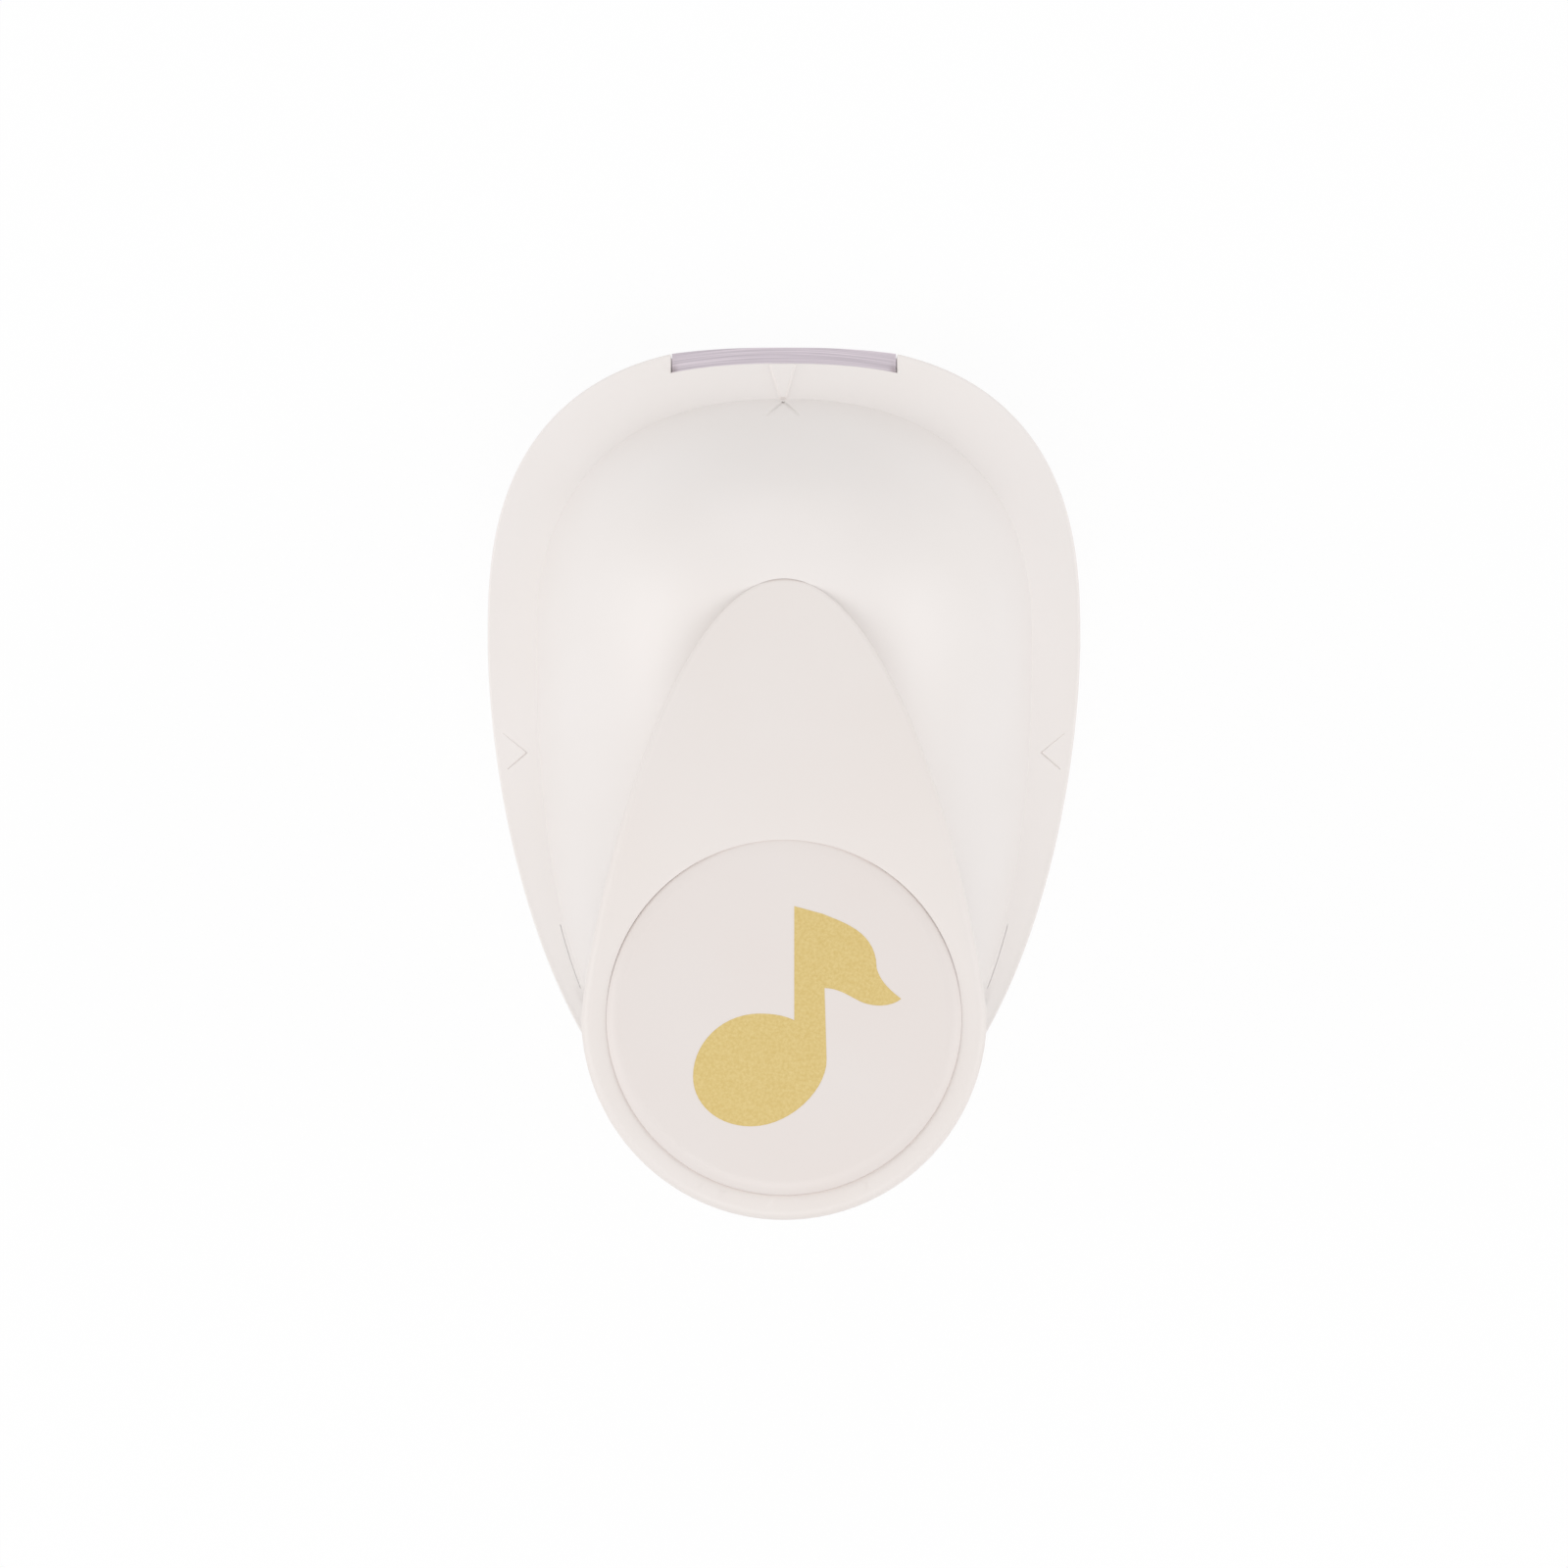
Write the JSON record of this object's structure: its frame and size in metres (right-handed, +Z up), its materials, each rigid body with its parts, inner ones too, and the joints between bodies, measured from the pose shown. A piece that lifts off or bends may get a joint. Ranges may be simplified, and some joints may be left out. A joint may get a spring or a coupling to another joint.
{
  "type": "shape craft punch",
  "caption": "Lever craft punch that cuts an eighth note out of paper, with an egg-shaped base, a domed housing and a round thumb pad.",
  "frame": {"origin": "middle of the outline, on the surface that the base stands on", "axes": "+Y towards the paper slot, -Y towards the thumb pad, +Z up"},
  "size_m": [0.0642, 0.0924, 0.0536],
  "materials": {
    "body_plastic": "satin moulded white",
    "lever_plastic": "satin moulded white",
    "disc_plastic": "satin moulded white with a gold foil note",
    "die_steel": "ground",
    "zinc_casting": "as cast",
    "plated_steel": "bright zinc plate",
    "hardened_steel": "ground and oiled"
  },
  "bodies": {
    "body": {"base_tray": "body_plastic", "upper_housing": "body_plastic", "die_plate": "die_steel", "guide_frame": "zinc_casting", "gap_spacer": "die_steel", "unit_rivet_1": "plated_steel", "unit_rivet_2": "plated_steel", "unit_rivet_3": "plated_steel", "unit_rivet_4": "plated_steel", "housing_screw_1": "plated_steel", "housing_screw_2": "plated_steel", "housing_screw_3": "plated_steel", "pivot_pin": "plated_steel", "pin_clip_left": "plated_steel", "pin_clip_right": "plated_steel", "spring_post_left": "hardened_steel", "spring_post_right": "hardened_steel", "return_spring_left": "hardened_steel", "return_spring_right": "hardened_steel"},
    "lever": {"lever_arm": "plated_steel", "lever_cover": "lever_plastic", "pad_disc": "disc_plastic", "press_roller": "hardened_steel", "roller_axle": "hardened_steel", "lever_screw_1": "plated_steel", "lever_screw_2": "plated_steel"},
    "punch": {"punch_plate": "plated_steel", "note_cutter": "hardened_steel", "punch_screw_1": "plated_steel", "punch_screw_2": "plated_steel"}
  },
  "joints": [
    {"name": "lever_press", "type": "hinge", "parent": "body", "child": "lever", "pos_m": [0, 0.0185, 0.0285], "axis": [1, 0, 0], "range_deg": [0, 18], "stiffness_Nm_per_rad": 1, "springref_deg": -17.19},
    {"name": "punch_slide", "type": "slide", "parent": "body", "child": "punch", "axis": [0, 0, -1], "range_m": [0, 0.0052], "deforming": ["return_spring_left", "return_spring_right"]}
  ],
  "couplings": [
    {"joint": "punch_slide", "follows": "lever_press", "m_per_rad": 0.0164}
  ]
}
